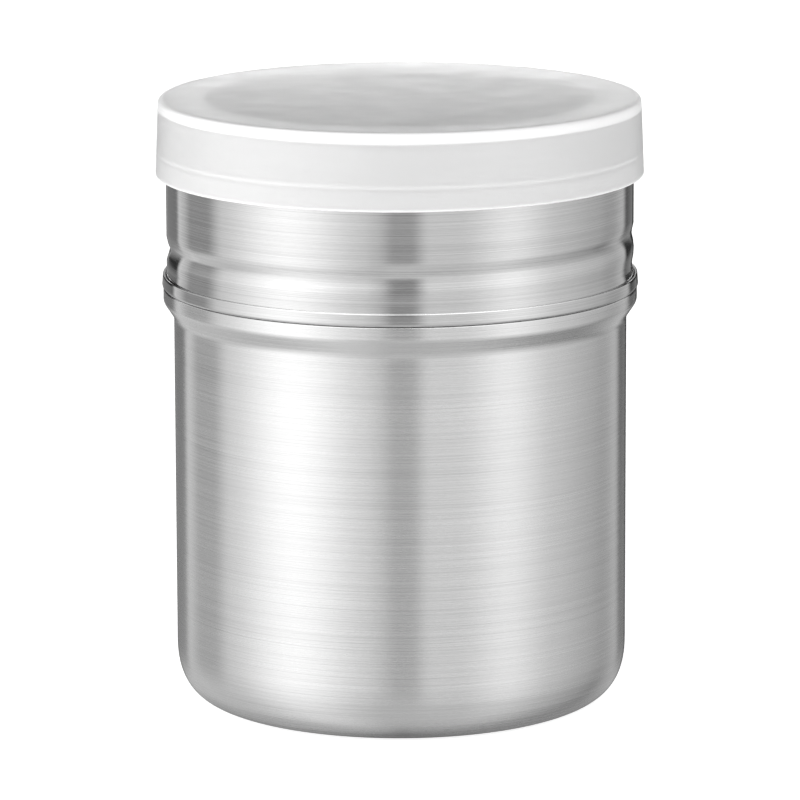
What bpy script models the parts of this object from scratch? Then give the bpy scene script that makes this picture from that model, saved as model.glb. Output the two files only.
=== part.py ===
"""Steel pepper shaker with a screw-on sieve lid and a push-on dust cap.

Metres, +Z up, origin at the centre of the base. The side seen in the photograph faces -Y.
Every piece is turned about the Z axis, which is also the axis of the thread and of both slides.
Angles are measured from the front, counter-clockwise as seen from above.
"""

import math

import bmesh
import bpy

OBJECT_NAME = "pepper_shaker"

# Clearances
SEAT_GAP = 0.0003
THREAD_CLEARANCE = 0.0004
CREST_CLEARANCE = 0.0003

# Cup, drawn from one sheet
CUP_RADIUS = 0.03495
CUP_SHEET = 0.0005
CUP_WALL_HEIGHT = 0.0604
BASE_CORNER_WIDTH = 0.0078
BASE_CORNER_HEIGHT = 0.0096
BASE_CORNER_POWER = 2.5
SHOULDER_FLARE_HEIGHT = 0.0024
SHOULDER_BAND_HEIGHT = 0.0019
SHOULDER_SETBACK = 0.0003
SHOULDER_FOOT_BEND = 0.0020
SHOULDER_CROWN_BEND = 0.0012
TIGHT_INNER_BEND = 0.0002

# Lid, pressed from one sheet and hemmed at its lower edge
LID_STEP_OUT = 0.00105
LID_SHEET = 0.00045
LID_HEIGHT = 0.0278
LID_CORNER_RADIUS = 0.0015
HEM_HEIGHT = 0.0020
HEM_FOLD_GAP = 0.0001
HEM_LEAN = 0.0001
HEM_FLARE_HEIGHT = 0.0010
HEM_FLARE = 0.0003
HEM_FLARE_BEND = 0.0010
FLANGE_WIDTH = 0.0059

# Rolled thread, right-handed
THREAD_PITCH = 0.0047
THREAD_DEPTH = 0.0006
THREAD_WIDTH = 0.0035
THREAD_START_ABOVE_HEM = 0.0011
THREAD_START_ANGLE = math.radians(-300)
LID_THREAD_SWEEP = math.radians(420)
NECK_THREAD_LAG = math.radians(60)
NECK_THREAD_SWEEP = math.radians(360)
THREAD_RUN_OUT = math.radians(60)

# Sieve: a wire net with its edge pressed flat
NET_WIRE = 0.0005
NET_PITCH = 0.0035
NET_EDGE_INSET = 0.0005
NET_EDGE_EXTRA = 0.0001

# Ring that clamps the net under the lid's flange
RING_SHEET = 0.00045
RING_DEPTH = 0.0033
RING_BEND = 0.0008
NECK_HEADROOM = 0.0042

# Dust cap, moulded
CAP_TOP_THICKNESS = 0.0011
CAP_WALL = 0.0008
CAP_DEPTH = 0.01175
CAP_DRAFT = 0.00047
CAP_CORNER_RADIUS = 0.0005
CAP_INNER_CORNER_RADIUS = 0.0004
CAP_RIM_ROUND = 0.0002
CAP_LEAD_IN_HEIGHT = 0.0026
CAP_LEAD_IN_DEPTH = 0.0004
CAP_LEAD_IN_CHAMFER = 0.0004

# Mesh density
SEGMENTS = 48
BEND_STEPS = 2
CORNER_STEPS = 6
THREAD_ROW_STEP = 0.0008

# Radii of what fits together
LID_RADIUS = CUP_RADIUS + LID_STEP_OUT
LID_BORE = LID_RADIUS - LID_SHEET
SIEVE_OPENING_RADIUS = LID_RADIUS - FLANGE_WIDTH
HEM_RADIUS = LID_RADIUS + HEM_FLARE + HEM_FOLD_GAP + LID_SHEET
SHOULDER_RADIUS = HEM_RADIUS - SHOULDER_SETBACK
NECK_RADIUS = LID_BORE - THREAD_DEPTH - THREAD_CLEARANCE
NECK_THREAD_HEIGHT = LID_BORE - CREST_CLEARANCE - NECK_RADIUS
RING_RADIUS = LID_BORE - SEAT_GAP
NET_RADIUS = LID_RADIUS - LID_CORNER_RADIUS
NET_EDGE_INNER_RADIUS = SIEVE_OPENING_RADIUS + NET_EDGE_INSET
CAP_BORE = LID_RADIUS + SEAT_GAP
CAP_TOP_RADIUS = CAP_BORE + CAP_WALL
CAP_RIM_RADIUS = CAP_TOP_RADIUS + CAP_DRAFT

# Heights above the base
SHOULDER_TOP = CUP_WALL_HEIGHT + SHOULDER_FLARE_HEIGHT + SHOULDER_BAND_HEIGHT
LID_BOTTOM = SHOULDER_TOP + SEAT_GAP
HEM_TOP = LID_BOTTOM + HEM_HEIGHT
LID_TOP = LID_BOTTOM + LID_HEIGHT
NET_EDGE_THICKNESS = NET_WIRE + NET_EDGE_EXTRA
NET_PLANE = LID_TOP - LID_SHEET - SEAT_GAP - NET_EDGE_THICKNESS / 2
RING_TOP = NET_PLANE - NET_EDGE_THICKNESS / 2 - SEAT_GAP
NECK_TOP = RING_TOP - RING_DEPTH - NECK_HEADROOM
THREAD_START_HEIGHT = HEM_TOP + THREAD_START_ABOVE_HEM
CAP_UNDERSIDE = LID_TOP + SEAT_GAP
CAP_TOP = CAP_UNDERSIDE + CAP_TOP_THICKNESS
CAP_RIM = CAP_TOP - CAP_DEPTH


def clear_scene():
    for old in list(bpy.data.objects):
        bpy.data.objects.remove(old, do_unlink=True)


def new_collection(name):
    collection = bpy.data.collections.new(name)
    bpy.context.scene.collection.children.link(collection)
    return collection


def principled(name, colour, metallic, roughness, alpha=1.0):
    material = bpy.data.materials.new(name)
    material.use_nodes = True
    shader = material.node_tree.nodes["Principled BSDF"]
    shader.inputs["Base Color"].default_value = (*colour, 1.0)
    shader.inputs["Metallic"].default_value = metallic
    shader.inputs["Roughness"].default_value = roughness
    shader.inputs["Alpha"].default_value = alpha
    material.diffuse_color = (*colour, alpha)
    return material


def filleted(corners, steps=BEND_STEPS):
    """The outline through corners given as (radius, height, bend), each bend drawn as an arc."""
    points = [corners[0][:2]]
    for before, corner, after in zip(corners, corners[1:], corners[2:]):
        points += bend_at(before, corner, after, steps)
    points.append(corners[-1][:2])
    return points


def bend_at(before, corner, after, steps):
    x, z, bend = corner
    if bend == 0:
        return [(x, z)]
    into = math.atan2(z - before[1], x - before[0])
    out = math.atan2(after[1] - z, after[0] - x)
    turn = math.remainder(out - into, math.tau)
    setback = bend * math.tan(abs(turn) / 2)
    side = math.copysign(math.pi / 2, turn)
    centre_x = x - setback * math.cos(into) + bend * math.cos(into + side)
    centre_z = z - setback * math.sin(into) + bend * math.sin(into + side)
    return arc((centre_x, centre_z), bend, into - side, into - side + turn, steps)


def arc(centre, radius, first, last, steps):
    angles = [first + (last - first) * step / steps for step in range(steps + 1)]
    return [(centre[0] + radius * math.cos(a), centre[1] + radius * math.sin(a)) for a in angles]


def with_rows(outline, low, high, step):
    """The outline with its long runs cut into rows between two heights, a step apart at most."""
    count = math.ceil((high - low) / step)
    heights = [high + (low - high) * row / count for row in range(count + 1)]
    points = [outline[0]]
    for start, end in zip(outline, outline[1:]):
        drop = start[1] - end[1]
        if drop > step:
            shares = [(start[1] - height) / drop for height in heights]
            margin = step / drop / 4
            inside = [share for share in shares if margin < share < 1 - margin]
            points += [tuple(a + (b - a) * share for a, b in zip(start, end)) for share in inside]
        points.append(end)
    return points


def link(name, mesh, collection, material):
    piece = bpy.data.objects.new(name, mesh)
    collection.objects.link(piece)
    if material:
        mesh.materials.append(material)
    return piece


def turned(name, outline, collection, material):
    """A surface of revolution from an outline of (radius, height) that runs down its outer side."""
    mesh = bpy.data.meshes.new(name)
    edges = [(i, i + 1) for i in range(len(outline) - 1)]
    mesh.from_pydata([(x, 0, z) for x, z in outline], edges, [])
    piece = link(name, mesh, collection, material)
    screw = piece.modifiers.new("Turn", "SCREW")
    screw.axis = "Z"
    screw.steps = SEGMENTS
    screw.render_steps = SEGMENTS
    screw.use_merge_vertices = True
    screw.merge_threshold = 0.00001
    screw.use_smooth_shade = True
    return piece


def made_mesh(piece):
    """Turns what the piece's modifiers make into its own mesh."""
    graph = bpy.context.evaluated_depsgraph_get()
    mesh = bpy.data.meshes.new_from_object(piece.evaluated_get(graph))
    piece.modifiers.clear()
    piece.data = mesh
    return piece


def thicken(piece, thickness, offset):
    solidify = piece.modifiers.new("Sheet", "SOLIDIFY")
    solidify.thickness = thickness
    solidify.offset = offset
    solidify.use_even_offset = True


def smooth(piece):
    piece.data.shade_smooth()
    piece.data.set_sharp_from_angle(angle=math.radians(40))


def run_out(angle, sweep):
    """How much of its full height the thread has at an angle from its start."""
    share = min(angle, sweep - angle) / THREAD_RUN_OUT
    share = min(max(share, 0), 1)
    return share * share * (3 - 2 * share)


def thread_height(direction, height, start_angle, start_height, sweep):
    """Height of the thread, from 0 to 1, at a direction and height on the wall."""
    total = 0
    first = math.floor((start_angle - direction) / math.tau)
    for turn in range(first, first + 4):
        angle = direction + turn * math.tau - start_angle
        away = height - start_height - THREAD_PITCH * angle / math.tau
        if 0 < angle < sweep and abs(away) < THREAD_WIDTH / 2:
            total += run_out(angle, sweep) * math.cos(math.pi * away / THREAD_WIDTH) ** 2
    return total


def roll_thread(piece, height, lowest, start_angle, start_height, sweep):
    """Moves the wall in or out along the helix. Points below lowest stay."""
    for vertex in piece.data.vertices:
        radius = math.hypot(vertex.co.x, vertex.co.y)
        if vertex.co.z <= lowest or radius == 0:
            continue
        direction = math.atan2(vertex.co.x, -vertex.co.y)
        share = thread_height(direction, vertex.co.z, start_angle, start_height, sweep)
        scale = 1 + height * share / radius
        vertex.co.x *= scale
        vertex.co.y *= scale


def base_corner():
    """The rounded edge between the cup's wall and its base, a little squarer than an ellipse."""
    points = []
    for step in range(CORNER_STEPS + 1):
        angle = math.pi / 2 * step / CORNER_STEPS
        out = math.cos(angle) ** (2 / BASE_CORNER_POWER)
        down = math.sin(angle) ** (2 / BASE_CORNER_POWER)
        radius = CUP_RADIUS - BASE_CORNER_WIDTH * (1 - out)
        points.append((radius, BASE_CORNER_HEIGHT * (1 - down)))
    return points


def body_cup(collection, material):
    crown_bend = CUP_SHEET + TIGHT_INNER_BEND
    outline = filleted(
        [
            (NECK_RADIUS, NECK_TOP, 0),
            (NECK_RADIUS, SHOULDER_TOP, crown_bend),
            (SHOULDER_RADIUS, SHOULDER_TOP, crown_bend),
            (SHOULDER_RADIUS, CUP_WALL_HEIGHT + SHOULDER_FLARE_HEIGHT, SHOULDER_CROWN_BEND),
            (CUP_RADIUS, CUP_WALL_HEIGHT, SHOULDER_FOOT_BEND),
            (CUP_RADIUS, BASE_CORNER_HEIGHT, 0),
        ]
    )
    outline = outline[:-1] + base_corner() + [(0, 0)]
    start_angle = THREAD_START_ANGLE + NECK_THREAD_LAG
    start_height = THREAD_START_HEIGHT + THREAD_PITCH * (0.5 + NECK_THREAD_LAG / math.tau)
    top = start_height + THREAD_PITCH * NECK_THREAD_SWEEP / math.tau + THREAD_WIDTH / 2
    outline = with_rows(outline, start_height - THREAD_WIDTH / 2, top, THREAD_ROW_STEP)
    piece = made_mesh(turned("body_cup", outline, collection, material))
    roll_thread(piece, NECK_THREAD_HEIGHT, HEM_TOP, start_angle, start_height, NECK_THREAD_SWEEP)
    smooth(piece)
    thicken(piece, CUP_SHEET, -1)
    return piece


def lid_shell(collection, material):
    """Heights here are above the lid's lower edge. The outline is the middle of the sheet."""
    wall = LID_RADIUS - LID_SHEET / 2
    flange = LID_HEIGHT - LID_SHEET / 2
    inner_layer = wall + HEM_FLARE
    fold_bend = (LID_SHEET + HEM_FOLD_GAP) / 2
    fold_centre = (inner_layer + fold_bend, fold_bend + LID_SHEET / 2)
    outline = filleted(
        [
            (SIEVE_OPENING_RADIUS, flange, 0),
            (wall, flange, LID_CORNER_RADIUS - LID_SHEET / 2),
            (wall, HEM_HEIGHT + HEM_FLARE_HEIGHT, HEM_FLARE_BEND),
            (inner_layer, HEM_HEIGHT, HEM_FLARE_BEND),
            (inner_layer, fold_centre[1], 0),
        ]
    )
    outline = outline[:-1] + arc(fold_centre, fold_bend, math.pi, math.tau, 2 * BEND_STEPS)
    outline.append((inner_layer + 2 * fold_bend - HEM_LEAN, HEM_HEIGHT))
    start_height = THREAD_START_HEIGHT - LID_BOTTOM
    top = start_height + THREAD_PITCH * LID_THREAD_SWEEP / math.tau + THREAD_WIDTH / 2
    outline = with_rows(outline, HEM_HEIGHT, top, THREAD_ROW_STEP)
    piece = made_mesh(turned("lid_shell", outline, collection, material))
    roll_thread(piece, -THREAD_DEPTH, HEM_HEIGHT, THREAD_START_ANGLE, start_height, LID_THREAD_SWEEP)
    smooth(piece)
    thicken(piece, LID_SHEET, 0)
    return piece


def flat_ring(name, inner, outer, thickness, collection, material):
    half = thickness / 2
    outline = [(inner, half), (outer, half), (outer, -half), (inner, -half), (inner, half)]
    return turned(name, outline, collection, material)


def mesh_screen(collection, cutters, material):
    """A net of crossing wires, trimmed round and joined to its flat edge. Heights are from its plane."""
    reach = (NET_EDGE_INNER_RADIUS + NET_RADIUS) / 2
    cells = 2 * math.ceil(reach / NET_PITCH)
    net = bmesh.new()
    bmesh.ops.create_grid(net, x_segments=cells, y_segments=cells, size=cells * NET_PITCH / 2)
    mesh = bpy.data.meshes.new("mesh_screen")
    net.to_mesh(mesh)
    net.free()
    piece = link("mesh_screen", mesh, collection, material)
    wires = piece.modifiers.new("Wires", "WIREFRAME")
    wires.thickness = NET_WIRE
    wires.use_boundary = True
    wires.use_even_offset = False
    trim = turned(
        "net_trim",
        [(0, NET_WIRE), (reach, NET_WIRE), (reach, -NET_WIRE), (0, -NET_WIRE)],
        cutters,
        None,
    )
    edge = flat_ring(
        "net_edge", NET_EDGE_INNER_RADIUS, NET_RADIUS, NET_EDGE_THICKNESS, cutters, None
    )
    for cutter, operation in ((trim, "INTERSECT"), (edge, "UNION")):
        cutter.parent = piece
        cutter.hide_render = True
        cutter.display_type = "WIRE"
        boolean = piece.modifiers.new(cutter.name, "BOOLEAN")
        boolean.operation = operation
        boolean.object = cutter
    return piece


def screen_retaining_ring(collection, material):
    """Heights here are below the ring's top face. The outline is the middle of the sheet."""
    wall = RING_RADIUS - RING_SHEET / 2
    outline = filleted(
        [
            (SIEVE_OPENING_RADIUS, -RING_SHEET / 2, 0),
            (wall, -RING_SHEET / 2, RING_BEND),
            (wall, -RING_DEPTH, 0),
        ]
    )
    piece = turned("screen_retaining_ring", outline, collection, material)
    thicken(piece, RING_SHEET, 0)
    return piece


def dust_cap(collection, material):
    """Heights here are above the cap's rim."""
    underside = CAP_DEPTH - CAP_TOP_THICKNESS
    lead_in = CAP_BORE + CAP_LEAD_IN_DEPTH
    outline = filleted(
        [
            (0, CAP_DEPTH, 0),
            (CAP_TOP_RADIUS, CAP_DEPTH, CAP_CORNER_RADIUS),
            (CAP_RIM_RADIUS, 0, CAP_RIM_ROUND),
            (lead_in, 0, CAP_RIM_ROUND),
            (lead_in, CAP_LEAD_IN_HEIGHT, 0),
            (CAP_BORE, CAP_LEAD_IN_HEIGHT + CAP_LEAD_IN_CHAMFER, 0),
            (CAP_BORE, underside, CAP_INNER_CORNER_RADIUS),
            (0, underside, 0),
        ]
    )
    return turned("dust_cap", outline, collection, material)


def empty(name, height, collection, parent=None):
    holder = bpy.data.objects.new(name, None)
    collection.objects.link(holder)
    holder.parent = parent
    holder.location.z = height
    return holder


def hang(piece, holder, height):
    """Places the piece at a height above the base, carried by an empty on its joint's axis."""
    piece.parent = holder
    piece.location.z = height - holder.matrix_world.translation.z


def main():
    clear_scene()
    parts = new_collection(OBJECT_NAME)
    cutters = new_collection(OBJECT_NAME + "_cutters")
    brushed = principled("brushed_steel", (0.62, 0.62, 0.62), 1.0, 0.30)
    drawn = principled("drawn_steel", (0.60, 0.60, 0.60), 1.0, 0.35)
    wire = principled("steel_wire", (0.50, 0.50, 0.50), 1.0, 0.40)
    milky = principled("milky_plastic", (0.86, 0.86, 0.86), 0.0, 0.30, alpha=0.6)

    body_cup(parts, brushed)
    lid_axis = empty("lid_axis", LID_BOTTOM, parts)
    cap_axis = empty("cap_axis", LID_HEIGHT, parts, lid_axis)
    bpy.context.view_layer.update()
    hang(lid_shell(parts, brushed), lid_axis, LID_BOTTOM)
    hang(mesh_screen(parts, cutters, wire), lid_axis, NET_PLANE)
    hang(screen_retaining_ring(parts, drawn), lid_axis, RING_TOP)
    hang(dust_cap(parts, milky), cap_axis, CAP_RIM)


main()
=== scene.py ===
"""Dresses the pepper shaker: brushed steel cup and screw lid, woven sieve, milky dust cap.

Metres, +Z up, origin at the centre of the base. The camera looks along +Y, from the front.
Angles round the shaker are measured from the front, counter-clockwise as seen from above.
"""

import math

import bpy
from mathutils import Matrix, Vector


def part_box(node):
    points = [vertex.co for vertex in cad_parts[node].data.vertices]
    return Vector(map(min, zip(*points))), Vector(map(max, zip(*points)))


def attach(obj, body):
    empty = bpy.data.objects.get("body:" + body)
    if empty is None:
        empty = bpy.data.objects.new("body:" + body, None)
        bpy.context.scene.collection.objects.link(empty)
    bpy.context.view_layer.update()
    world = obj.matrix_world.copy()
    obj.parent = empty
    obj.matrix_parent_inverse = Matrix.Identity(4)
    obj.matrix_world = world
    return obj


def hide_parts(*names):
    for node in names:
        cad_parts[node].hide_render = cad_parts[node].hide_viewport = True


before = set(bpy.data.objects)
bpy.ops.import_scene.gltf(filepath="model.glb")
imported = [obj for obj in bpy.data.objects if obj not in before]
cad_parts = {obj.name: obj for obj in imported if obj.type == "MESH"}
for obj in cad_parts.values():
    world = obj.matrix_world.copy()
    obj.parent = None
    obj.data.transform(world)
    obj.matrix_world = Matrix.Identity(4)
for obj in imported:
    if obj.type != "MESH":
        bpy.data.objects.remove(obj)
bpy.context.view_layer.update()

# Places read from the frame
CUP_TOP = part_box("body_cup")[1].z
LID_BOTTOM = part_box("lid_shell")[0].z
LID_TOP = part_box("lid_shell")[1].z
NET_LOW, NET_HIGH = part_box("mesh_screen")
RING_LOW, RING_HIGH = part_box("screen_retaining_ring")
CAP_LOW, CAP_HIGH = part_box("dust_cap")

# Cup
CUP_RADIUS = 0.03495
CUP_SHEET = 0.0005
CUP_WALL_HEIGHT = 0.0604
BASE_CORNER_WIDTH = 0.0078
BASE_CORNER_HEIGHT = 0.0096
BASE_CORNER_POWER = 2.5
SHOULDER_RADIUS = 0.03655
SEAM_GAP = 0.00003
SHOULDER_TOP = LID_BOTTOM - SEAM_GAP
SHOULDER_FLARE_HEIGHT = 0.0024
SHOULDER_FOOT_BEND = 0.0020
SHOULDER_CROWN_BEND = 0.0012
NECK_RADIUS = 0.03455
NECK_FOOT_BEND = 0.00025

# Lid
LID_RADIUS = 0.0360
LID_SHEET = 0.00045
LID_CORNER_RADIUS = 0.0015
HEM_HEIGHT = 0.0020
HEM_FOLD_GAP = 0.0002
HEM_FOLD_FLATNESS = 0.45
HEM_LEAN = 0.0001
HEM_FLARE_HEIGHT = 0.0010
HEM_FLARE = 0.00007
HEM_FLARE_BEND = 0.0010
CUT_EDGE_ROUND = 0.40
FLANGE_WIDTH = 0.0059
SIEVE_OPENING_RADIUS = LID_RADIUS - FLANGE_WIDTH

# Rolled thread: the neck's starts later than the lid's by its lag, and its shift, a share of
# the pitch, puts it between the turns of the lid's
THREAD_PITCH = 0.0047
LID_GROOVE_DEPTH = 0.0006
NECK_RIDGE_HEIGHT = 0.0007
THREAD_WIDTH = 0.0035
THREAD_START_ABOVE_HEM = 0.0011
THREAD_START_ANGLE = math.radians(-300)
LID_THREAD_SWEEP = math.radians(420)
NECK_THREAD_LAG = math.radians(60)
NECK_THREAD_SHIFT = 0.5
NECK_THREAD_SWEEP = math.radians(360)
THREAD_RUN_OUT = math.radians(60)
THREAD_PASSES_TRIED = 4
CREST_BEAD_HEIGHT = 0.0002
CREST_BEAD_WIDTH = 0.0024

# Sieve
WIRE_DIAMETER = 0.00030
WIRE_PITCH = 0.0010
WIRE_SIDES = 6
SIEVE_EDGE_INSET = 0.0005
WIRE_TUCK = 0.0010

# Retaining ring
RING_SHEET = 0.00045
RING_BEND = 0.0008

# Dust cap
CAP_TOP_THICKNESS = 0.0011
CAP_WALL = 0.0008
CAP_DRAFT = 0.00047
CAP_CORNER_RADIUS = 0.0008
CAP_INNER_CORNER_RADIUS = 0.0004
CAP_RIM_ROUND = 0.0002
CAP_LEAD_IN_HEIGHT = 0.0026
CAP_LEAD_IN_DEPTH = 0.0004
CAP_LEAD_IN_CHAMFER = 0.0004

# Mesh density, the angle that makes an edge sharp, and the radius that counts as the axis
SEGMENTS = 256
BEND_STEPS = 8
CORNER_STEPS = 24
FINE_ROW = 0.00025
COARSE_ROW = 0.0010
CUT_EDGE_STEPS = 3
SHARP_FROM = math.radians(50)
ON_AXIS = 1e-7

# Brushing marks: length round the axis, width across it, share of the whole
BRUSH_MARKS = (
    (0.060, 0.00011, 0.48),
    (0.012, 0.00009, 0.16),
    (0.0012, 0.00009, 0.14),
    (0.090, 0.0005, 0.15),
    (0.090, 0.003, 0.07),
)
BRUSH_BUMP = 0.25
BRUSH_BUMP_DISTANCE = 0.00002
BRUSH_ROUGHNESS_SPREAD = 0.20
BRUSH_SPACE_TURN = (0.61, 0.43, 0.27)
QUARTER_TURN = 0.25

# Steel wire: roughness and tone in its darkest and its lightest mottles. The tones are far darker than
# bright steel: painted shade standing for the dark inside seen between the wires under the cap
WIRE_MOTTLE_SCALE = 900
WIRE_ROUGHNESS = (0.28, 0.45)
WIRE_PAINTED_SHADE_TONES = (0.10, 0.18)

# Milky plastic: the spans of its fades. The wall's is measured from the bore, the flange's from the
# sieve's opening, the plate's from the underside of the top, the others from the rim. At the corner,
# where the wall's and the plate's meet, and at the rim, the plastic is made opaque white: a painted
# glow for light gathering in the thick plastic. The flange's marks a cloudier ring of painted sheen for
# the bright flange seen through the top
CAP_WALL_FADE = (-0.0002, 0.0004)
CAP_FLANGE_FADE = (-0.0006, 0.0004)
CAP_PLATE_FADE = (-0.0006, -0.0004)
CAP_RIM_FADE = (0.0002, 0.0005)
CAP_LEAD_IN_FADE = (0.0027, 0.0031)
CAP_LINE_FOOT = (0.0032, 0.0036)
CAP_LINE_HEAD = (0.0036, 0.0042)

# Milky plastic: how cloudy, white and rough it is, with the least and the most of each
CAP_LEAD_IN_SHARE = 0.4
CAP_SKIRT_CLOUD = (0.60, 0.74)
# Cloud of the ring over the lid's flange: a painted sheen for the flange seen through
CAP_FLANGE_PAINTED_SHEEN = 0.17
# The lighter tone is that of the painted glow at the corner and rim
CAP_TONES = (0.98, 0.985)
CAP_IOR = 1.5
CAP_MOTTLE_SCALE = 220
CAP_ROUGHNESS = (0.26, 0.38)

# Camera and studio, set up as a shop photograph of steel is
CAMERA_PLACE = Vector((0, -0.8885, 0.2288))
CAMERA_TARGET = Vector((-0.00008, 0, 0.04656))
CAMERA_ROLL = math.radians(-0.18)
CAMERA_LENS = 263.1
STUDIO_CENTRE = Vector((0, 0, 0.05))
WORLD_FILL = 0.20
STAGE_SEGMENTS = 64
FLOOR_RADIUS = 4.0
FLOOR_BELOW = 0.00005
FLOOR_TONE = 0.85
FLOOR_ROUGHNESS = 0.9
FLOOR_GLOW = 0.70
FLOOR_GLOW_RISES_FROM = 0.9
FLOOR_WHITE_FROM = 1.4

# Soft lamps: azimuth and elevation in degrees, distance, side of the square lamp, power
LAMPS = {
    "key": (-38, 12, 1.5, 0.9, 16.0),
    "fill": (78, 10, 1.5, 0.9, 15.5),
    "side": (-88, 10, 1.5, 0.9, 8.0),
    "front": (-8, 12, 1.5, 0.9, 2.5),
    "back": (165, 12, 1.5, 0.9, 7.0),
}

# Heights of the tent's cards, as elevations in degrees: where the share far below ends, where
# the whole level starts and ends, and where the share high up starts
TALL = (-60, -5, 5, 45)
LOW = (-28, -12, -7, 8)
SIDE = (-20, -11, 0, 22)
AHEAD = (-21, -10, -6, 8)
BACK = (-20, -12, -11, 1)

# What the tent shows to the steel, from softboxes and dark flags that stand in it: azimuth, half width
# of the even middle, half width with the soft edges, level added, share of that level far below, share
# of it high up, heights. These rows and the tent's low and high share began as a least-squares fit to
# the photograph's reflections. Some of the numbers are still the fit's own, and the others were changed
# or added.
TENT_BASE = 0.735
TENT_CARDS = {
    "key": (-57, 0, 46, 0.64, 0.47, 1.12, TALL),
    "left_flag": (-118, 8, 22, -0.43, 0.0, 0.55, SIDE),
    "left_glow": (-130, 1, 6, 0.10, 0.50, 0.80, TALL),
    "left_back_flag": (-153, 9.5, 15.5, -0.47, 0.10, 1.9, BACK),
    "camera": (1.2, 3.6, 13.4, -0.37, 0.0, 1.5, AHEAD),
    "tripod": (-11, 0, 7, -0.08, 0.30, 1.5, LOW),
    "fill": (56, 0, 28, 0.33, 0.20, 1.29, TALL),
    "right_flag": (124, 4, 52, -0.27, 1.10, 0.80, LOW),
    "right_dip": (126, 2, 13, -0.07, 2.00, 0.80, LOW),
    "right_back_flag": (158, 9, 17, -0.42, 0.10, 2.1, BACK),
    "behind": (180, 10, 17, -0.60, 0.80, 0.75, LOW),
}
TENT_RADIUS = 3.0
TENT_STEPS = 24
TENT_LOW = math.radians(-75)
TENT_HIGH = math.radians(40)
TENT_LOW_SHARE = 0.834
TENT_HIGH_SHARE = 1.231
TENT_ROOF_LEVEL = 1.3
TENT_ROOF_FROM = math.radians(34)
TENT_ROOF_WHOLE = math.radians(66)
TENT_DARKEST = 0.03

# Shade on the table round the foot
TABLE_SHADE_BELOW = 0.00004
TABLE_SHADE_FROM = 0.030
TABLE_SHADE_RADIUS = 0.039
TABLE_SHADE_DEPTH = 0.65
TABLE_SHADE_LEVEL = 0.20
WIDE_SHADE_RADIUS = 0.20
WIDE_SHADE_DEPTH = 0.15

# Card behind the cap
CARD_BEHIND = 0.15
CARD_WIDTH = 0.15
CARD_SIDE_FADE = 0.04
CARD_BOTTOM = CAP_HIGH.z + 0.006
CARD_TOP = CAP_HIGH.z + 0.030
CARD_FADE_FROM = CAP_HIGH.z + 0.016
CARD_LEVEL = 6.2

# Kinds of ray that miss the lamps, the tent, and the things that only reflections show
UNSEEN_LAMP = ("camera", "glossy", "transmission")
UNSEEN_TENT = ("camera", "diffuse", "volume_scatter", "shadow")
GLOSSY_ONLY = UNSEEN_TENT + ("transmission",)


def arc(centre, radius, first, last, steps):
    angles = [first + (last - first) * step / steps for step in range(steps + 1)]
    return [(centre[0] + radius * math.cos(a), centre[1] + radius * math.sin(a)) for a in angles]


def bend_at(before, corner, after, steps):
    """The arc that rounds a corner given as (radius, height, bend)."""
    x, z, bend = corner
    if bend == 0:
        return [(x, z)]
    into = math.atan2(z - before[1], x - before[0])
    out = math.atan2(after[1] - z, after[0] - x)
    turn = math.remainder(out - into, math.tau)
    setback = bend * math.tan(abs(turn) / 2)
    side = math.copysign(math.pi / 2, turn)
    centre_x = x - setback * math.cos(into) + bend * math.cos(into + side)
    centre_z = z - setback * math.sin(into) + bend * math.sin(into + side)
    return arc((centre_x, centre_z), bend, into - side, into - side + turn, steps)


def filleted(corners):
    points = [corners[0][:2]]
    for before, corner, after in zip(corners, corners[1:], corners[2:]):
        points += bend_at(before, corner, after, BEND_STEPS)
    points.append(corners[-1][:2])
    return points


def with_rows(outline, step_at):
    """The outline with its long runs cut up, so that no run is longer than step_at(height)."""
    points = [outline[0]]
    for start, end in zip(outline, outline[1:]):
        length = math.dist(start, end)
        count = math.ceil(length / step_at((start[1] + end[1]) / 2))
        for row in range(1, count + 1):
            share = row / count
            points.append(tuple(a + (b - a) * share for a, b in zip(start, end)))
    return points


def offset(line, distance):
    """A line beside another, to the left of its direction for a positive distance."""
    moved = []
    for index, (x, z) in enumerate(line):
        before = line[max(index - 1, 0)]
        after = line[min(index + 1, len(line) - 1)]
        along = math.atan2(after[1] - before[1], after[0] - before[0])
        moved.append((x - distance * math.sin(along), z + distance * math.cos(along)))
    return moved


def cut_end(start, end):
    """The cut edge of a sheet from start round to end, without those two points: flat, rounded off."""
    across = math.dist(start, end)
    along = math.atan2(end[1] - start[1], end[0] - start[0])
    radius = across * CUT_EDGE_ROUND
    points = []
    for centre_at, first in ((radius, math.pi), (across - radius, math.pi / 2)):
        for x, out in arc((centre_at, 0), radius, first, first - math.pi / 2, CUT_EDGE_STEPS):
            points.append(
                (
                    start[0] + x * math.cos(along) - out * math.sin(along),
                    start[1] + x * math.sin(along) + out * math.cos(along),
                )
            )
    return points[1:-1]


def sheet_loop(middle, thickness):
    """The closed outline of a sheet, from its middle line, with both of its edges cut."""
    left = offset(middle, thickness / 2)
    right = offset(middle, -thickness / 2)[::-1]
    return left + cut_end(left[-1], right[0]) + right + cut_end(right[-1], left[0])


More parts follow.
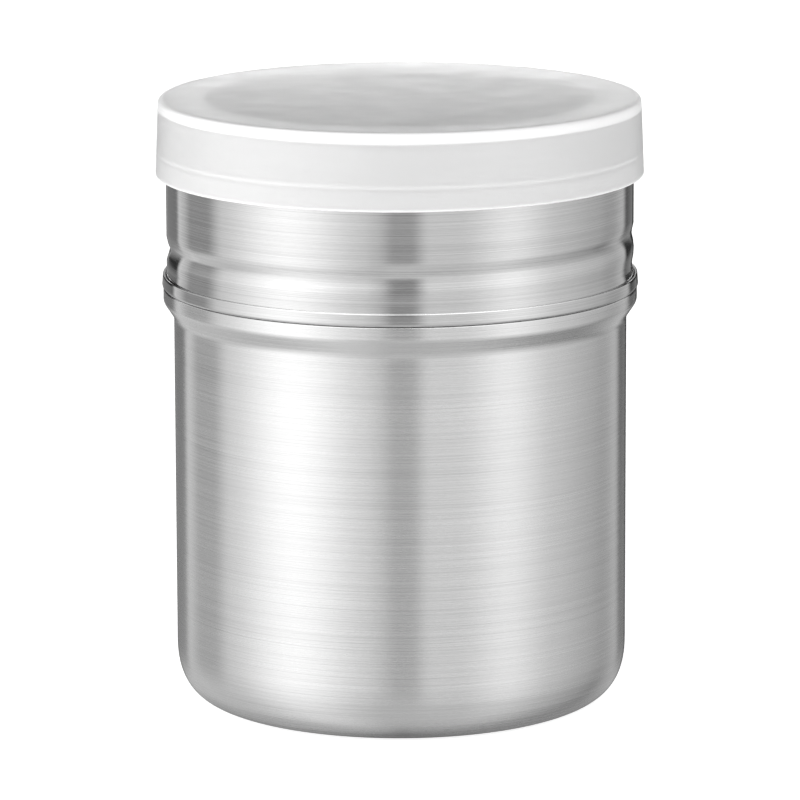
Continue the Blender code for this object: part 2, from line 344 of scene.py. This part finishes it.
def lathe(name, outline, closed, material, segments=SEGMENTS):
    """Turns an outline of (radius, height) round the Z axis. Its left side becomes the outside."""
    rings = []
    vertices = []
    for radius, height in outline:
        if radius < ON_AXIS:
            rings.append([len(vertices)] * segments)
            vertices.append((0, 0, height))
            continue
        rings.append(range(len(vertices), len(vertices) + segments))
        for step in range(segments):
            angle = math.tau * step / segments
            vertices.append((radius * math.cos(angle), radius * math.sin(angle), height))
    pairs = list(zip(rings, rings[1:]))
    if closed:
        pairs.append((rings[-1], rings[0]))
    faces = []
    for upper, lower in pairs:
        for step in range(segments):
            after = (step + 1) % segments
            face = dict.fromkeys((upper[step], lower[step], lower[after], upper[after]))
            faces.append(tuple(face))
    return solid(name, vertices, faces, material)


def solid(name, vertices, faces, material):
    mesh = bpy.data.meshes.new(name)
    mesh.from_pydata(vertices, [], faces)
    mesh.validate()
    mesh.materials.append(material)
    mesh.shade_smooth()
    mesh.set_sharp_from_angle(angle=SHARP_FROM)
    piece = bpy.data.objects.new(name, mesh)
    bpy.context.scene.collection.objects.link(piece)
    return piece


def run_out(angle, sweep):
    """How much of its full height the thread has at an angle from its start."""
    share = min(angle, sweep - angle) / THREAD_RUN_OUT
    share = min(max(share, 0), 1)
    return share * share * (3 - 2 * share)


def ridge(away, width):
    """A rounded ridge, 1 at its middle and 0 from half its width away."""
    if abs(away) >= width / 2:
        return 0
    return math.cos(math.pi * away / width) ** 2


def thread_shares(direction, height, start_angle, start_height, sweep):
    """Height of the thread, and of the crest between two turns of it, both from 0 to 1.

    The thread passes a direction once a turn, so a few passes are tried, from before its start.
    """
    thread = crest = 0
    first = math.floor((start_angle - direction) / math.tau)
    for turn in range(first, first + THREAD_PASSES_TRIED):
        angle = direction + turn * math.tau - start_angle
        away = height - start_height - THREAD_PITCH * angle / math.tau
        here = run_out(angle, sweep)
        above = run_out(angle + math.tau, sweep)
        thread += here * ridge(away, THREAD_WIDTH)
        crest += here * above * ridge(away - THREAD_PITCH / 2, CREST_BEAD_WIDTH)
    return thread, crest


def roll_thread(piece, low, high, start_angle, start_height, sweep, thread_out, crest_out=0):
    """Moves the wall between two heights out, or in for a negative height, along the helix."""
    for vertex in piece.data.vertices:
        if not low < vertex.co.z < high:
            continue
        direction = math.atan2(vertex.co.x, -vertex.co.y)
        thread, crest = thread_shares(direction, vertex.co.z, start_angle, start_height, sweep)
        radius = math.hypot(vertex.co.x, vertex.co.y)
        scale = 1 + (thread_out * thread + crest_out * crest) / radius
        vertex.co.x *= scale
        vertex.co.y *= scale


def base_corner():
    """The rounded edge between the cup's wall and its base, a little squarer than an ellipse."""
    points = []
    for step in range(CORNER_STEPS + 1):
        angle = math.pi / 2 * step / CORNER_STEPS
        out = math.cos(angle) ** (2 / BASE_CORNER_POWER)
        down = math.sin(angle) ** (2 / BASE_CORNER_POWER)
        radius = CUP_RADIUS - BASE_CORNER_WIDTH * (1 - out)
        points.append((radius, BASE_CORNER_HEIGHT * (1 - down)))
    return points


def row_step(low, high):
    """Fine rows between two heights, coarse ones elsewhere."""
    return lambda height: FINE_ROW if low < height < high else COARSE_ROW


def steel_cup(material):
    outside = filleted(
        [
            (NECK_RADIUS, CUP_TOP, 0),
            (NECK_RADIUS, SHOULDER_TOP, NECK_FOOT_BEND),
            (SHOULDER_RADIUS, SHOULDER_TOP, NECK_FOOT_BEND),
            (SHOULDER_RADIUS, CUP_WALL_HEIGHT + SHOULDER_FLARE_HEIGHT, SHOULDER_CROWN_BEND),
            (CUP_RADIUS, CUP_WALL_HEIGHT, SHOULDER_FOOT_BEND),
            (CUP_RADIUS, BASE_CORNER_HEIGHT, 0),
        ]
    )
    outside = outside[:-1] + base_corner() + [(0, 0)]
    start_angle = THREAD_START_ANGLE + NECK_THREAD_LAG
    hem_top = LID_BOTTOM + HEM_HEIGHT
    start_height = hem_top + THREAD_START_ABOVE_HEM
    start_height += THREAD_PITCH * (NECK_THREAD_SHIFT + NECK_THREAD_LAG / math.tau)
    outside = with_rows(outside, row_step(CUP_WALL_HEIGHT, CUP_TOP))
    inside = offset(outside, -CUP_SHEET)
    inside[-1] = (0, CUP_SHEET)
    outline = inside[::-1] + cut_end(inside[0], outside[0]) + outside
    piece = lathe("steel_cup", outline, False, material)
    roll_thread(
        piece, SHOULDER_TOP, CUP_TOP, start_angle, start_height, NECK_THREAD_SWEEP, NECK_RIDGE_HEIGHT
    )
    return piece


def screw_lid(material):
    """The outline is the middle of the sheet, with heights above the lid's lower edge."""
    height = LID_TOP - LID_BOTTOM
    wall = LID_RADIUS - LID_SHEET / 2
    flange = height - LID_SHEET / 2
    inner_layer = wall + HEM_FLARE
    fold_bend = (LID_SHEET + HEM_FOLD_GAP) / 2
    fold_centre = (inner_layer + fold_bend, fold_bend * HEM_FOLD_FLATNESS + LID_SHEET / 2)
    middle = filleted(
        [
            (SIEVE_OPENING_RADIUS, flange, 0),
            (wall, flange, LID_CORNER_RADIUS - LID_SHEET / 2),
            (wall, HEM_HEIGHT + HEM_FLARE_HEIGHT, HEM_FLARE_BEND),
            (inner_layer, HEM_HEIGHT, HEM_FLARE_BEND),
            (inner_layer, fold_centre[1], 0),
        ]
    )
    fold = arc((fold_centre[0], 0), fold_bend, math.pi, math.tau, 2 * BEND_STEPS)
    middle = middle[:-1] + [(x, fold_centre[1] + z * HEM_FOLD_FLATNESS) for x, z in fold]
    edge_height = HEM_HEIGHT - LID_SHEET * CUT_EDGE_ROUND
    middle.append((inner_layer + 2 * fold_bend - HEM_LEAN, edge_height))
    start_height = HEM_HEIGHT + THREAD_START_ABOVE_HEM
    top = start_height + THREAD_PITCH * LID_THREAD_SWEEP / math.tau + THREAD_WIDTH
    middle = with_rows(middle, row_step(0, top))
    middle = [(radius, LID_BOTTOM + up) for radius, up in middle]
    piece = lathe("screw_lid", sheet_loop(middle, LID_SHEET), True, material)
    roll_thread(
        piece,
        LID_BOTTOM + HEM_HEIGHT,
        LID_BOTTOM + top,
        THREAD_START_ANGLE,
        LID_BOTTOM + start_height,
        LID_THREAD_SWEEP,
        -LID_GROOVE_DEPTH,
        CREST_BEAD_HEIGHT,
    )
    return piece


def woven_wire(across, side, reach):
    """Points of one wire of a plain weave, which passes over and under each wire that it crosses."""
    half = math.sqrt(max(reach * reach - across * across, 0))
    count = 2 * math.ceil(2 * half / WIRE_PITCH)
    points = []
    for step in range(count + 1):
        along = -half + 2 * half * step / count
        wave = math.cos(math.pi * along / WIRE_PITCH)
        points.append((along, side * wave * WIRE_DIAMETER / 2))
    return points


def tube(points, across, turned, height):
    """Vertices and faces of a wire along X, or along Y if turned, closed at both ends."""
    vertices = []
    for along, up in points:
        for corner in range(WIRE_SIDES):
            angle = math.tau * corner / WIRE_SIDES
            aside = across + WIRE_DIAMETER / 2 * math.cos(angle)
            level = height + up + WIRE_DIAMETER / 2 * math.sin(angle)
            vertices.append((-aside, along, level) if turned else (along, aside, level))
    faces = []
    for ring in range(len(points) - 1):
        base = ring * WIRE_SIDES
        for corner in range(WIRE_SIDES):
            after = (corner + 1) % WIRE_SIDES
            faces.append(
                (base + corner, base + after, base + WIRE_SIDES + after, base + WIRE_SIDES + corner)
            )
    last = len(vertices) - WIRE_SIDES
    faces.append(tuple(range(WIRE_SIDES))[::-1])
    faces.append(tuple(range(last, last + WIRE_SIDES)))
    return vertices, faces


def woven_sieve(material):
    """Plain-woven wire disc whose wire ends are pressed into a flat rim."""
    height = (NET_LOW.z + NET_HIGH.z) / 2
    rim_inner = SIEVE_OPENING_RADIUS + SIEVE_EDGE_INSET
    reach = rim_inner + WIRE_TUCK
    half_count = math.floor(reach / WIRE_PITCH)
    vertices = []
    faces = []
    for turned in (False, True):
        for number in range(-half_count, half_count + 1):
            side = 1 if (number + turned) % 2 else -1
            points = woven_wire(number * WIRE_PITCH, side, reach)
            wire_vertices, wire_faces = tube(points, number * WIRE_PITCH, turned, height)
            start = len(vertices)
            vertices += wire_vertices
            faces += [tuple(start + index for index in face) for face in wire_faces]
    wires = solid("woven_sieve", vertices, faces, material)
    half = (NET_HIGH.z - NET_LOW.z) / 2
    rim_outline = [
        (rim_inner, height + half),
        (NET_HIGH.x, height + half),
        (NET_HIGH.x, height - half),
        (rim_inner, height - half),
    ]
    rim = lathe("woven_sieve_rim", rim_outline, True, material)
    return wires, rim


def clamp_ring(material):
    wall = RING_HIGH.x - RING_SHEET / 2
    top = RING_HIGH.z - RING_SHEET / 2
    middle = filleted(
        [(SIEVE_OPENING_RADIUS, top, 0), (wall, top, RING_BEND), (wall, RING_LOW.z, 0)]
    )
    middle = with_rows(middle, row_step(0, 0))
    return lathe("clamp_ring", sheet_loop(middle, RING_SHEET), True, material)


def plastic_cap(material):
    rim = CAP_LOW.z
    top = CAP_HIGH.z
    underside = top - CAP_TOP_THICKNESS
    rim_radius = CAP_HIGH.x
    top_radius = rim_radius - CAP_DRAFT
    bore = top_radius - CAP_WALL
    lead_in = bore + CAP_LEAD_IN_DEPTH
    outline = filleted(
        [
            (0, top, 0),
            (top_radius, top, CAP_CORNER_RADIUS),
            (rim_radius, rim, CAP_RIM_ROUND),
            (lead_in, rim, CAP_RIM_ROUND),
            (lead_in, rim + CAP_LEAD_IN_HEIGHT, 0),
            (bore, rim + CAP_LEAD_IN_HEIGHT + CAP_LEAD_IN_CHAMFER, 0),
            (bore, underside, CAP_INNER_CORNER_RADIUS),
            (0, underside, 0),
        ]
    )
    outline = with_rows(outline, row_step(0, 0))
    return lathe("plastic_cap", outline, False, material)


class Shader:
    """A material's nodes, made and linked with one call each."""

    def __init__(self, name):
        self.material = bpy.data.materials.new(name)
        self.material.use_nodes = True
        self.tree = self.material.node_tree
        self.principled = self.tree.nodes["Principled BSDF"]
        self.output = self.tree.nodes["Material Output"]

    def node(self, kind, **settings):
        node = self.tree.nodes.new(kind)
        for name, value in settings.items():
            setattr(node, name, value)
        return node

    def link(self, source, target):
        self.tree.links.new(source, target)

    def feed(self, value, socket):
        """Sets a socket to a number, or links it to another socket."""
        if isinstance(value, (int, float)):
            socket.default_value = value
        else:
            self.link(value, socket)

    def maths(self, operation, first, second=0.0):
        node = self.node("ShaderNodeMath", operation=operation)
        for socket, value in zip(node.inputs, (first, second)):
            self.feed(value, socket)
        return node.outputs[0]

    def place(self):
        """The object's own coordinates."""
        return self.node("ShaderNodeTexCoord").outputs["Object"]

    def axes(self):
        """The object's own x, y and z."""
        split = self.node("ShaderNodeSeparateXYZ")
        self.link(self.place(), split.inputs[0])
        return split.outputs

    def radius(self, x, y):
        """The distance from the Z axis."""
        squares = self.maths("ADD", self.maths("POWER", x, 2), self.maths("POWER", y, 2))
        return self.maths("SQRT", squares)

    def remap(self, value, low, high):
        """A value from 0 to 1 spread from low to high."""
        node = self.node("ShaderNodeMapRange")
        self.link(value, node.inputs["Value"])
        node.inputs["To Min"].default_value = low
        node.inputs["To Max"].default_value = high
        return node.outputs[0]

    def ramp(self, value, low, high, at_low, at_high):
        """A smooth step from one level to another as the value goes from low to high."""
        node = self.node("ShaderNodeMapRange", interpolation_type="SMOOTHSTEP")
        self.link(value, node.inputs["Value"])
        node.inputs["From Min"].default_value = low
        node.inputs["From Max"].default_value = high
        node.inputs["To Min"].default_value = at_low
        node.inputs["To Max"].default_value = at_high
        return node.outputs[0]

    def fade(self, value, beside, span, at_low, at_high):
        """A smooth step over a span that is measured from a place."""
        return self.ramp(value, beside + span[0], beside + span[1], at_low, at_high)

    def emission(self, strength):
        """White light, left out when lamps are sampled because only reflections show it."""
        emission = self.node("ShaderNodeEmission")
        self.feed(strength, emission.inputs["Strength"])
        self.material.cycles.emission_sampling = "NONE"
        return emission.outputs[0]

    def grey(self, value):
        """A value as a grey colour."""
        node = self.node("ShaderNodeCombineColor")
        for socket in node.inputs[:3]:
            self.link(value, socket)
        return node.outputs[0]

    def noise(self, vector, scale, detail):
        node = self.node("ShaderNodeTexNoise")
        self.link(vector, node.inputs["Vector"])
        node.inputs["Scale"].default_value = scale
        node.inputs["Detail"].default_value = detail
        return node.outputs["Fac"]


def brush_space(shader, lean, stretch):
    """Coordinates in which noise is drawn out round the Z axis, as brushing marks are.

    The third one runs along the wall's profile: height plus lean times the radius.
    """
    x, y, z = shader.axes()
    radius = shader.radius(x, y)
    along = shader.maths("ADD", z, shader.maths("MULTIPLY", radius, lean))
    combine = shader.node("ShaderNodeCombineXYZ")
    shader.link(x, combine.inputs[0])
    shader.link(y, combine.inputs[1])
    shader.link(shader.maths("MULTIPLY", along, stretch), combine.inputs[2])
    turned = shader.node("ShaderNodeVectorRotate", rotation_type="EULER_XYZ")
    turned.inputs["Rotation"].default_value = BRUSH_SPACE_TURN
    shader.link(combine.outputs[0], turned.inputs["Vector"])
    return turned.outputs[0]


def brushed_steel(name, lean, level=0.78, roughness=0.24, contrast=0.36):
    """Steel with brushing marks round the axis, which spread its reflections up and down."""
    shader = Shader(name)
    principled = shader.principled
    principled.inputs["Metallic"].default_value = 1.0
    principled.inputs["Anisotropic"].default_value = 1.0
    principled.inputs["Anisotropic Rotation"].default_value = QUARTER_TURN
    tangent = shader.node("ShaderNodeTangent", direction_type="RADIAL", axis="Z")
    shader.link(tangent.outputs[0], principled.inputs["Tangent"])
    marks = 0.0
    for length, width, share in BRUSH_MARKS:
        mark = shader.noise(brush_space(shader, lean, length / width), 1 / length, detail=1)
        marks = shader.maths("ADD", shader.maths("MULTIPLY", mark, share), marks)
    shade = shader.remap(marks, 1 - contrast, 1 + contrast)
    tint = shader.node("ShaderNodeMix", data_type="RGBA", blend_type="MULTIPLY")
    tint.inputs["Factor"].default_value = 1.0
    tint.inputs[6].default_value = (level, level, level, 1)
    shader.link(shade, tint.inputs[7])
    shader.link(tint.outputs[2], principled.inputs["Base Color"])
    spread = shader.remap(
        marks, roughness - BRUSH_ROUGHNESS_SPREAD, roughness + BRUSH_ROUGHNESS_SPREAD
    )
    shader.link(spread, principled.inputs["Roughness"])
    bump = shader.node("ShaderNodeBump")
    bump.inputs["Strength"].default_value = BRUSH_BUMP
    bump.inputs["Distance"].default_value = BRUSH_BUMP_DISTANCE
    shader.link(marks, bump.inputs["Height"])
    shader.link(bump.outputs[0], principled.inputs["Normal"])
    return shader.material


def steel_wire():
    shader = Shader("steel_wire")
    principled = shader.principled
    principled.inputs["Metallic"].default_value = 1.0
    mottle = shader.noise(shader.place(), WIRE_MOTTLE_SCALE, detail=2)
    shader.link(shader.remap(mottle, *WIRE_ROUGHNESS), principled.inputs["Roughness"])
    # Dark tone: painted shade for the sieve under the cap, mottled at random
    tone = shader.node("ShaderNodeMix", data_type="RGBA")
    for socket, level in zip(tone.inputs[6:8], WIRE_PAINTED_SHADE_TONES):
        socket.default_value = (level, level, level, 1)
    shader.link(mottle, tone.inputs["Factor"])
    shader.link(tone.outputs[2], principled.inputs["Base Color"])
    return shader.material


def milky_plastic():
    """Clear enough to show the lid as a blur, and cloudy in its skirt. Its corner and rim are opaque
    white, a painted glow for light gathering in the thick plastic, and a cloudier ring over the lid's
    flange is painted sheen for the bright flange seen through.
    """
    shader = Shader("milky_plastic")
    principled = shader.principled
    x, y, z = shader.axes()
    radius = shader.radius(x, y)
    bore = CAP_HIGH.x - CAP_DRAFT - CAP_WALL
    underside = CAP_HIGH.z - CAP_TOP_THICKNESS
    wall = shader.fade(radius, bore, CAP_WALL_FADE, 0, 1)
    plate = shader.fade(z, underside, CAP_PLATE_FADE, 0, 1)
    rim = shader.fade(z, CAP_LOW.z, CAP_RIM_FADE, 1, 0)
    # The corner and the rim turn opaque and white here: a painted glow standing for light gathering in
    # the thick plastic
    painted_glow = shader.maths("MAXIMUM", shader.maths("MULTIPLY", wall, plate), rim)
    lead_in = shader.fade(z, CAP_LOW.z, CAP_LEAD_IN_FADE, CAP_LEAD_IN_SHARE, 0)
    line_foot = shader.fade(z, CAP_LOW.z, CAP_LINE_FOOT, 0, 1)
    line_head = shader.fade(z, CAP_LOW.z, CAP_LINE_HEAD, 1, 0)
    milky = shader.maths("MAXIMUM", lead_in, shader.maths("MULTIPLY", line_foot, line_head))
    skirt = shader.maths("MULTIPLY", wall, shader.remap(milky, *CAP_SKIRT_CLOUD))
    # A cloudier, lighter ring over the lid's flange: painted sheen standing for the bright steel flange
    # seen through the top
    flange = shader.fade(radius, SIEVE_OPENING_RADIUS, CAP_FLANGE_FADE, 0, CAP_FLANGE_PAINTED_SHEEN)
    clear = shader.maths("SUBTRACT", 1, shader.maths("MAXIMUM", skirt, flange))
    clear = shader.maths("MULTIPLY", clear, shader.remap(painted_glow, 1, 0))
    shader.link(clear, principled.inputs["Transmission Weight"])
    shader.link(shader.grey(shader.remap(painted_glow, *CAP_TONES)), principled.inputs["Base Color"])
    principled.inputs["IOR"].default_value = CAP_IOR
    mottle = shader.noise(shader.place(), CAP_MOTTLE_SCALE, detail=3)
    shader.link(shader.remap(mottle, *CAP_ROUGHNESS), principled.inputs["Roughness"])
    return shader.material


def place_camera():
    camera = bpy.data.objects.new("camera", bpy.data.cameras.new("camera"))
    bpy.context.scene.collection.objects.link(camera)
    camera.data.lens = CAMERA_LENS
    aim = (CAMERA_TARGET - CAMERA_PLACE).to_track_quat("-Z", "Y").to_matrix().to_4x4()
    roll = Matrix.Rotation(CAMERA_ROLL, 4, "Z")
    camera.matrix_world = Matrix.Translation(CAMERA_PLACE) @ aim @ roll
    bpy.context.scene.camera = camera


def toward(azimuth, elevation):
    """The direction at an azimuth, from the camera's side and positive to its right."""
    flat = math.cos(elevation)
    return Vector(
        (flat * math.sin(azimuth), -flat * math.cos(azimuth), math.sin(elevation))
    )


def hide_from(thing, rays):
    """Lets some kinds of ray pass through an object."""
    for ray in rays:
        setattr(thing, "visible_" + ray, False)


def light_lamps():
    for name, (azimuth, elevation, distance, side, power) in LAMPS.items():
        lamp = bpy.data.lights.new(name, "AREA")
        lamp.shape = "SQUARE"
        lamp.size = side
        lamp.energy = power
        holder = bpy.data.objects.new(name, lamp)
        bpy.context.scene.collection.objects.link(holder)
        direction = toward(math.radians(azimuth), math.radians(elevation))
        holder.location = STUDIO_CENTRE + direction * distance
        holder.rotation_euler = (-direction).to_track_quat("-Z", "Y").to_euler()
        hide_from(holder, UNSEEN_LAMP)


def seen_share(shader):
    """1 for rays by which something is seen: straight, reflected or through plastic."""
    path = shader.node("ShaderNodeLightPath")
    share = path.outputs["Is Camera Ray"]
    for name in ("Is Glossy Ray", "Is Transmission Ray"):
        share = shader.maths("MAXIMUM", share, path.outputs[name])
    return share


class WorldShader(Shader):
    def __init__(self):
        world = bpy.data.worlds.new("studio")
        world.use_nodes = True
        bpy.context.scene.world = world
        self.tree = world.node_tree
        self.world = world


def light_world():
    shader = WorldShader()
    background = shader.tree.nodes["Background"]
    background.inputs["Color"].default_value = (1, 1, 1, 1)
    shader.link(shader.remap(seen_share(shader), WORLD_FILL, 1.0), background.inputs["Strength"])
    shader.world.cycles.sampling_method = "NONE"


def lay_floor():
    shader = Shader("floor")
    shader.principled.inputs["Base Color"].default_value = (FLOOR_TONE, FLOOR_TONE, FLOOR_TONE, 1)
    shader.principled.inputs["Roughness"].default_value = FLOOR_ROUGHNESS
    shader.principled.inputs["Emission Color"].default_value = (1, 1, 1, 1)
    x, y, _ = shader.axes()
    radius = shader.radius(x, y)
    glow = shader.ramp(radius, FLOOR_GLOW_RISES_FROM, FLOOR_WHITE_FROM, FLOOR_GLOW, 1)
    glow = shader.maths("MULTIPLY", seen_share(shader), glow)
    shader.link(glow, shader.principled.inputs["Emission Strength"])
    outline = [(0, 0), (FLOOR_RADIUS, 0)]
    floor = lathe("floor", outline, False, shader.material, STAGE_SEGMENTS)
    floor.location.z = -FLOOR_BELOW
    hide_from(floor, ("glossy",))


def tent_level(shader):
    """How bright the tent is: more so towards its roof, and changed by each of its cards."""
    x, y, z = shader.axes()
    azimuth = shader.maths("ARCTAN2", x, shader.maths("MULTIPLY", y, -1))
    rise = shader.maths("DIVIDE", z, TENT_RADIUS)
    level = shader.ramp(
        rise,
        math.sin(TENT_LOW),
        math.sin(TENT_HIGH),
        TENT_BASE * TENT_LOW_SHARE,
        TENT_BASE * TENT_HIGH_SHARE,
    )
    for middle, inner, outer, added, low, high, heights in TENT_CARDS.values():
        bottom, whole_from, whole_to, top = (math.sin(math.radians(angle)) for angle in heights)
        away = shader.maths("SUBTRACT", azimuth, math.radians(middle))
        away = shader.maths("WRAP", away, math.pi)
        away.node.inputs[2].default_value = -math.pi
        away = shader.maths("ABSOLUTE", away)
        card = shader.ramp(away, math.radians(inner), math.radians(outer), added, 0)
        below = shader.ramp(rise, bottom, whole_from, low, 1)
        above = shader.ramp(rise, whole_to, top, 1, high)
        share = shader.maths("MULTIPLY", below, above)
        level = shader.maths("ADD", level, shader.maths("MULTIPLY", card, share))
    roof_from, roof_whole = math.sin(TENT_ROOF_FROM), math.sin(TENT_ROOF_WHOLE)
    roof = shader.ramp(rise, roof_from, roof_whole, 0, TENT_ROOF_LEVEL)
    return shader.maths("MAXIMUM", shader.maths("ADD", level, roof), TENT_DARKEST)


def hang_tent():
    """A tent round the table as the steel sees it, glowing with painted light: bright bands stand for
    softboxes and dark ones for flags.
    """
    shader = Shader("tent_glow")
    shader.link(shader.emission(tent_level(shader)), shader.output.inputs["Surface"])
    angles = [math.pi * step / TENT_STEPS for step in range(TENT_STEPS + 1)]
    outline = [(TENT_RADIUS * math.sin(a), -TENT_RADIUS * math.cos(a)) for a in angles]
    tent = lathe("tent", outline, False, shader.material, STAGE_SEGMENTS)
    hide_from(tent, UNSEEN_TENT)


def shade_table():
    """The table round the cup's foot as the steel sees it: darker close to the foot."""
    shader = Shader("table_shade")
    x, y, _ = shader.axes()
    radius = shader.radius(x, y)
    clear = shader.node("ShaderNodeBsdfTransparent")
    mix = shader.node("ShaderNodeMixShader")
    close = shader.ramp(radius, TABLE_SHADE_FROM, TABLE_SHADE_RADIUS, TABLE_SHADE_DEPTH, 0)
    wide = shader.ramp(radius, TABLE_SHADE_RADIUS, WIDE_SHADE_RADIUS, WIDE_SHADE_DEPTH, 0)
    depth = shader.maths("MAXIMUM", close, wide)
    shader.link(depth, mix.inputs[0])
    shader.link(clear.outputs[0], mix.inputs[1])
    shader.link(shader.emission(TABLE_SHADE_LEVEL), mix.inputs[2])
    shader.link(mix.outputs[0], shader.output.inputs["Surface"])
    outline = [(0, 0), (WIDE_SHADE_RADIUS, 0)]
    shade = lathe("table_shade", outline, False, shader.material, STAGE_SEGMENTS)
    shade.location.z = -TABLE_SHADE_BELOW
    hide_from(shade, GLOSSY_ONLY)


def stand_card():
    """A bright card close behind the cap with soft edges, whose reflection fades over the cap's top."""
    shader = Shader("card")
    x, _, z = shader.axes()
    level = shader.ramp(z, CARD_FADE_FROM, CARD_TOP, CARD_LEVEL, 0)
    foot = shader.ramp(z, CARD_BOTTOM, CARD_FADE_FROM, 0, 1)
    half = CARD_WIDTH / 2
    side = shader.ramp(shader.maths("ABSOLUTE", x), half - CARD_SIDE_FADE, half, 1, 0)
    level = shader.maths("MULTIPLY", level, shader.maths("MULTIPLY", foot, side))
    shader.link(shader.emission(level), shader.output.inputs["Surface"])
    corners = [
        (-half, CARD_BEHIND, CARD_BOTTOM),
        (half, CARD_BEHIND, CARD_BOTTOM),
        (half, CARD_BEHIND, CARD_TOP),
        (-half, CARD_BEHIND, CARD_TOP),
    ]
    card = solid("card", corners, [(0, 1, 2, 3)], shader.material)
    hide_from(card, GLOSSY_ONLY)


def finish_piece(piece, body, node):
    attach(piece, body)
    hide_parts(node)


def main():
    cup_steel = brushed_steel("brushed_steel_cup", lean=1)
    lid_steel = brushed_steel(
        "brushed_steel_lid", lean=-1, level=0.69, roughness=0.13, contrast=0.46
    )
    ring_steel = brushed_steel("drawn_steel", lean=1, roughness=0.4)
    wire = steel_wire()
    milky = milky_plastic()

    finish_piece(steel_cup(cup_steel), "cup", "body_cup")
    finish_piece(screw_lid(lid_steel), "lid", "lid_shell")
    sieve, rim = woven_sieve(wire)
    finish_piece(sieve, "lid", "mesh_screen")
    finish_piece(rim, "lid", "mesh_screen")
    finish_piece(clamp_ring(ring_steel), "lid_riser", "screen_retaining_ring")
    finish_piece(plastic_cap(milky), "cap", "dust_cap")

    place_camera()
    light_lamps()
    light_world()
    lay_floor()
    hang_tent()
    stand_card()
    shade_table()
    bpy.context.scene.view_settings.view_transform = "Standard"


main()

bpy.context.view_layer.update()
